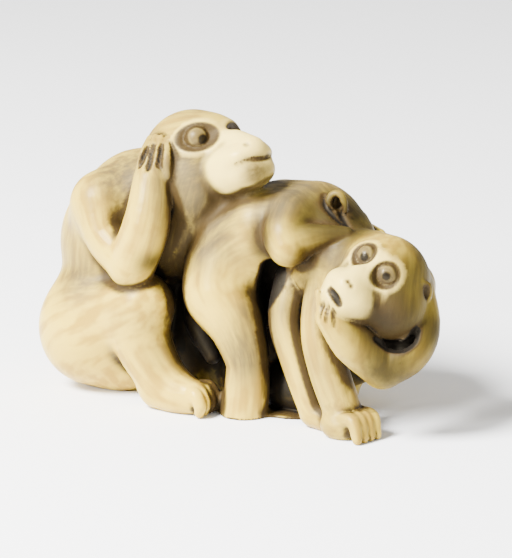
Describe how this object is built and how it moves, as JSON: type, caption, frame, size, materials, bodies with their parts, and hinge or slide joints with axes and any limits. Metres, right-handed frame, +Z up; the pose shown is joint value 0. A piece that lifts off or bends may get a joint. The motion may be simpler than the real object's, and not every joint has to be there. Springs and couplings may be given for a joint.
{
  "type": "netsuke",
  "caption": "Ivory netsuke carved as one piece: monkeys in a row that hear, see and speak no evil, with a cord channel in the back of the first.",
  "frame": {"origin": "centre of the bounding box, in the plane the carving stands on", "axes": "+X along the row of monkeys, from the one that covers its ears to the one that covers its mouth; -Y the front they show; +Z up"},
  "size_m": [0.0494, 0.0239, 0.0323],
  "materials": {
    "ivory": "hand-polished ivory with brown stain in the hollows"
  },
  "bodies": {
    "root": {"three_monkeys": "ivory"}
  },
  "joints": []
}
